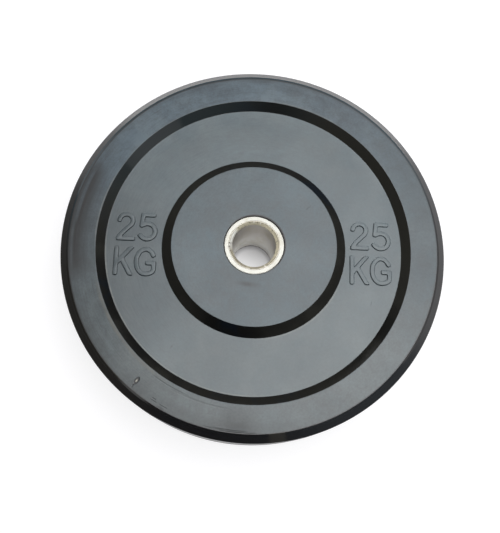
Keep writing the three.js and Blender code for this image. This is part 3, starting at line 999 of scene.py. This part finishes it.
class MouldDisc(PlateOperator, bpy.types.Operator):
    """Mould the rubber disc: faces, rims, bevels, tread and the pocket for the steel"""

    bl_idname = "bumper_plate.mould_disc"
    bl_label = "Mould rubber disc"

    def execute(self, context):
        sizes = context.scene.plate_sizes
        steel = context.scene.insert_sizes
        looks = context.scene.finishes
        at = self.levels(context)
        core = self.insert(context)
        gap = steel.fit_gap
        edge = sizes.edge_radius
        flash = sizes.parting_height / 2
        tread = at.radius - sizes.parting_raise
        pocket = core.collar + gap
        key = core.groove_radius + gap
        key_half = steel.groove_width / 2 - gap
        tube = core.tube + gap
        foot = core.foot - gap
        anchor = steel.anchor_diameter / 2 + gap
        anchor_height = steel.anchor_thickness / 2 + gap
        half_outline = [
            (at.radius, flash * 0.4, flash * 0.2),
            (tread, flash, flash * 0.4),
            (tread, at.tread, sizes.tread_edge_radius),
            (at.shoulder, at.shoulder_foot, sizes.shoulder_radius),
            (at.rim_outer, at.rim_foot, edge),
            (at.rim_inner, at.rim_height, edge),
            (at.web_outer, at.web_height, edge),
            (at.web_inner, at.web_height, edge),
            (at.hub, at.half, edge),
            (pocket, at.half, sizes.lip_radius),
            (pocket, core.groove + key_half, 0),
            (key, core.groove + key_half, 0),
            (key, core.groove - key_half, 0),
            (pocket, core.groove - key_half, 0),
            (pocket, foot, 0),
            (tube, foot, 0),
            (tube, anchor_height, 0),
            (anchor, anchor_height, 0),
        ]
        mesh = bmesh.new()
        turned(mesh, divided(filleted(mirrored(half_outline)), *RUBBER_STEPS), sizes.segments)
        ring = (tube + steel.anchor_diameter / 2) / 2
        hole = steel.anchor_hole / 2 - gap
        for index in range(steel.anchor_holes):
            angle = 2 * math.pi * index / steel.anchor_holes
            bmesh.ops.create_cone(
                mesh, cap_ends=True, segments=HOLE_SEGMENTS, radius1=hole, radius2=hole,
                depth=2 * anchor_height + HOLE_OVERLAP,
                matrix=Matrix.Translation((ring * math.cos(angle), ring * math.sin(angle), 0)),
            )
        at.lip = pocket + BARE_LIP
        rubber = rubber_material("bloomed_rubber", looks, at, *FACE_LEVELS)
        disc = finished(mesh, "moulded_disc", at.half, rubber)
        disc.data.materials.append(slope_material(looks, at))
        for face in disc.data.polygons:
            radius, level = face.center.xy.length, abs(face.normal.z)
            beside_web = at.hub < radius < at.web_inner or at.web_outer < radius < at.rim_inner
            if beside_web and SLOPE_LEVELS[0] < level < SLOPE_LEVELS[1]:
                face.material_index = 1
        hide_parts("rubber_disc")
        return {"FINISHED"}


class RaiseFigures(PlateOperator, bpy.types.Operator):
    """Raise the weight and its unit on both webs, left and right of the hub"""

    bl_idname = "bumper_plate.raise_figures"
    bl_label = "Raise figures"

    def execute(self, context):
        sizes = context.scene.figure_sizes
        at = self.levels(context)
        at.lip = 0.0
        pen = Strokes(sizes)
        middle = (at.web_inner + at.web_outer) / 2 - sizes.inset
        digits_foot = sizes.row_gap / 2 - sizes.drop
        capitals_foot = -sizes.row_gap / 2 - sizes.height - sizes.drop
        rows = (
            ((pen.two(), pen.five()), sizes.digit_gap, digits_foot),
            ((pen.kay(), pen.gee()), sizes.capital_gap, capitals_foot),
        )
        material = rubber_material("figure_rubber", context.scene.finishes, at, *FIGURE_LEVELS)
        for name in ("front_figures", "rear_figures"):
            mesh = bmesh.new()
            for centre in (-middle, middle):
                for (first, second), gap, foot in rows:
                    left = centre - (first[0] + gap + second[0]) / 2
                    for width, strokes in (first, second):
                        outline = evened(joined_outline(strokes), FIGURE_STEP)
                        raised_figure(mesh, outline, Vector((left, foot)), at.web_height, sizes.raised)
                        left += width + gap
            if name == "rear_figures":
                turn_over(mesh)
            finished(mesh, name, at.half, material)
        return {"FINISHED"}


class FitSleeve(PlateOperator, bpy.types.Operator):
    """Fit the sleeve tube with its chamfered mouths and the bright collar round each of them"""

    bl_idname = "bumper_plate.fit_sleeve"
    bl_label = "Fit sleeve and collars"

    def execute(self, context):
        sizes = context.scene.insert_sizes
        looks = context.scene.finishes
        half = self.levels(context).half
        at = self.insert(context)
        tube_outline = mirrored([
            (at.tube, at.top, BROKEN_EDGE),
            (at.mouth, at.top, BROKEN_EDGE),
            (at.bore, at.top - sizes.mouth_chamfer_depth, SOFT_EDGE),
        ])
        mesh = bmesh.new()
        turned(mesh, divided(filleted(tube_outline), *TUBE_STEPS), STEEL_SEGMENTS)
        tube = finished(mesh, "sleeve", half, tube_material(looks, half, at.mouth))
        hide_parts("sleeve_tube")
        groove_foot = at.groove - sizes.groove_width / 2
        groove_top = at.groove + sizes.groove_width / 2
        collar_outline = [
            (at.collar_inner, at.foot, BROKEN_EDGE),
            (at.collar, at.foot, SOFT_EDGE),
            (at.collar, groove_foot, BROKEN_EDGE),
            (at.groove_radius, groove_foot, BROKEN_EDGE),
            (at.groove_radius, groove_top, BROKEN_EDGE),
            (at.collar, groove_top, BROKEN_EDGE),
            (at.collar, at.top - sizes.collar_edge, BROKEN_EDGE),
            (at.collar - sizes.collar_edge, at.top, BROKEN_EDGE),
            (at.collar_inner, at.top, BROKEN_EDGE),
        ]
        material = ring_material(looks)
        for name, node in (("front_ring", "front_collar"), ("rear_ring", "rear_collar")):
            mesh = bmesh.new()
            turned(mesh, divided(filleted(collar_outline), *COLLAR_STEPS), STEEL_SEGMENTS)
            if name == "rear_ring":
                turn_over(mesh)
            ring = finished(mesh, name, half, material)
            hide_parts(node)
        return {"FINISHED"}


class CoatAnchor(PlateOperator, bpy.types.Operator):
    """Give the buried anchor plate and its weld beads their mill steel"""

    bl_idname = "bumper_plate.coat_anchor"
    bl_label = "Coat buried anchor"

    def execute(self, context):
        material = buried_material(context.scene.finishes)
        for name in ("anchor_plate", "front_anchor_weld", "rear_anchor_weld"):
            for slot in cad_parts[name].material_slots:
                slot.material = material
        return {"FINISHED"}


# Width of the camera's picture plane in millimetres
SENSOR_WIDTH = 36

# Floor: how far it reaches, and how far it lies below the plate
FLOOR_REACH = 6.0
FLOOR_DROP = 0.0005
FLOOR_CORNERS = ((-1, -1), (1, -1), (1, 1), (-1, 1))

# Lamps: name, setting that holds the level, place, turn in degrees, width and length, shape

LAMPS = (
    ("overhead_softbox", "overhead_level", (0.40, 0.08, 1.40), (0, 0, 0), (1.61, 1.61), "ELLIPSE"),
    ("far_panel", "far_level", (0.20, 1.75, 0.21), (-90, 0, 0), (3.0, 0.5), "RECTANGLE"),
    ("right_panel", "right_level", (1.75, 0.5, 0.36), (0, 90, 0), (0.8, 1.6), "RECTANGLE"),
)

# Dark flags that keep light off the bevels: name, both ends of the foot, lowest and highest edge

FLAGS = (
    ("left_flag", (-1.4, 0.9), (-1.4, -1.4), 0.001, 2.4),
    ("near_flag", (-1.4, -1.4), (1.4, -1.4), 0.001, 3.4),
    ("right_flag", (1.4, -1.4), (1.4, -0.45), 0.001, 3.4),
    ("far_flag", (-1.9, 1.9), (2.3, 1.9), 0.55, 1.75),
)


class SetStudio(PlateOperator, bpy.types.Operator):
    """Set the pale floor, the soft lamps and the camera"""

    bl_idname = "bumper_plate.set_studio"
    bl_label = "Set studio"

    def execute(self, context):
        settings = context.scene.studio_settings
        self.lay_floor(settings)
        self.stand_flags(settings)
        self.set_surroundings(context, settings)
        for name, level, *fixture in LAMPS:
            self.hang_lamp(name, getattr(settings, level), *fixture)
        self.stand_camera(context, settings)
        context.scene.view_settings.view_transform = "Standard"
        return {"FINISHED"}

    def stage_piece(self, name, corners, material):
        data = bpy.data.meshes.new(name)
        data.from_pydata(corners, [], [(0, 1, 2, 3)])
        data.materials.append(material)
        piece = placed(name, data)
        return piece

    def seen_directly(self, page):
        """1 for what the camera, a gloss or a clear surface sees, and 0 for light that falls on things."""
        path = page.add("ShaderNodeLightPath").outputs
        names = ("Is Camera Ray", "Is Glossy Ray", "Is Transmission Ray")
        return largest(Tone(page, path[name]) for name in names)

    def lay_floor(self, settings):
        """Lays a floor that glows round the plate; inside the bore the glow is painted light and shade:
        lighter toward the near side, dimmer toward the wall, and dark in a ring under the wall's rear edge.
        """
        material, page = new_material("pale_floor")
        glow = settings.floor_glow
        # Painted light and shade on the floor inside the bore: a slant across it, dimming toward the wall,
        # and a dark ring under the wall's rear edge
        slanted = page.x * 0.34 + page.y * 0.94
        inside = slanted.ramp(0.022, -0.012, 0.24, settings.bore_glow)
        inside *= page.outward(0.019, 0.0250, 1.0, 0.55) * page.outward(0.0264, 0.0254)
        level = inside + page.outward(0.04, 0.06, 0.0, glow) + page.outward(0.7, 1.5, 0.0, 1 - glow)
        page.shine(settings.floor_colour, (1, 1, 1, 1), self.seen_directly(page) * level)
        corners = [(x * FLOOR_REACH, y * FLOOR_REACH, -FLOOR_DROP) for x, y in FLOOR_CORNERS]
        self.stage_piece("pale_floor", corners, material)

    def stand_flags(self, settings):
        """Stands the flags round the plate, unseen by the camera."""
        felt, page = new_material("black_felt")
        page.shine(settings.felt_colour, settings.felt_glow, page.x.spread(0.0, 1.2, 0.0, 0.2912))
        for name, start, end, low, high in FLAGS:
            flag = self.stage_piece(name, [(*start, low), (*end, low), (*end, high), (*start, high)], felt)
            flag.visible_camera = False

    def set_surroundings(self, context, settings):
        world = bpy.data.worlds.new("studio_walls")
        world.use_nodes = True
        context.scene.world = world
        page = Page(world.node_tree)
        level = self.seen_directly(page).between(settings.fill_level, 1.0)
        walls = page.add("ShaderNodeBackground", {"Color": (1, 1, 1, 1), "Strength": level})
        page.show(walls, "ShaderNodeOutputWorld")

    def hang_lamp(self, name, level, place, turn_degrees, size, shape):
        lamp = bpy.data.lights.new(name, "AREA")
        lamp.shape = shape
        lamp.size, lamp.size_y = size
        area = lamp.size * lamp.size_y * (math.pi / 4 if shape == "ELLIPSE" else 1)
        lamp.energy = level * math.pi * area
        piece = placed(name, lamp)
        piece.location = place
        piece.rotation_euler = [math.radians(angle) for angle in turn_degrees]
        piece.visible_camera = False

    def stand_camera(self, context, settings):
        azimuth, elevation = settings.camera_azimuth, settings.camera_elevation
        back = Vector((
            math.sin(azimuth) * math.cos(elevation),
            -math.cos(azimuth) * math.cos(elevation),
            math.sin(elevation),
        ))
        data = bpy.data.cameras.new("camera")
        data.sensor_fit = "HORIZONTAL"
        data.sensor_width = SENSOR_WIDTH
        data.lens = settings.camera_lens
        camera = placed("camera", data)
        turned_to = (-back).to_track_quat("-Z", "Y").to_matrix()
        turned_to @= Matrix.Rotation(settings.camera_roll, 3, "Z")
        place = Vector(settings.camera_target) + back * settings.camera_distance
        camera.matrix_world = Matrix.Translation(place) @ turned_to.to_4x4()
        context.scene.camera = camera


class PlatePanel(bpy.types.Panel):
    """Lists the steps that build the plate"""

    bl_idname = "VIEW3D_PT_bumper_plate"
    bl_label = "Bumper plate"
    bl_space_type = "VIEW_3D"
    bl_region_type = "UI"
    bl_category = "Bumper plate"

    def draw(self, context):
        layout = self.layout
        for operator in OPERATORS:
            layout.operator(operator.bl_idname)
        for name, group in GROUPS.items():
            box = layout.box()
            box.label(text=group.__doc__)
            for entry in group.__annotations__:
                box.prop(getattr(context.scene, name), entry)


GROUPS = {
    "plate_sizes": PlateSizes,
    "figure_sizes": FigureSizes,
    "insert_sizes": InsertSizes,
    "finishes": Finishes,
    "studio_settings": StudioSettings,
}
OPERATORS = (MouldDisc, RaiseFigures, FitSleeve, CoatAnchor, SetStudio)


def register():
    for group in GROUPS.values():
        bpy.utils.register_class(group)
    for name, group in GROUPS.items():
        setattr(bpy.types.Scene, name, PointerProperty(type=group))
    for operator in OPERATORS:
        bpy.utils.register_class(operator)
    bpy.utils.register_class(PlatePanel)


def unregister():
    bpy.utils.unregister_class(PlatePanel)
    for operator in reversed(OPERATORS):
        bpy.utils.unregister_class(operator)
    for name, group in GROUPS.items():
        delattr(bpy.types.Scene, name)
        bpy.utils.unregister_class(group)


def main():
    register()
    bpy.ops.bumper_plate.mould_disc()
    bpy.ops.bumper_plate.raise_figures()
    bpy.ops.bumper_plate.fit_sleeve()
    bpy.ops.bumper_plate.coat_anchor()
    bpy.ops.bumper_plate.set_studio()
    bpy.context.view_layer.update()


if __name__ == "__main__":
    main()
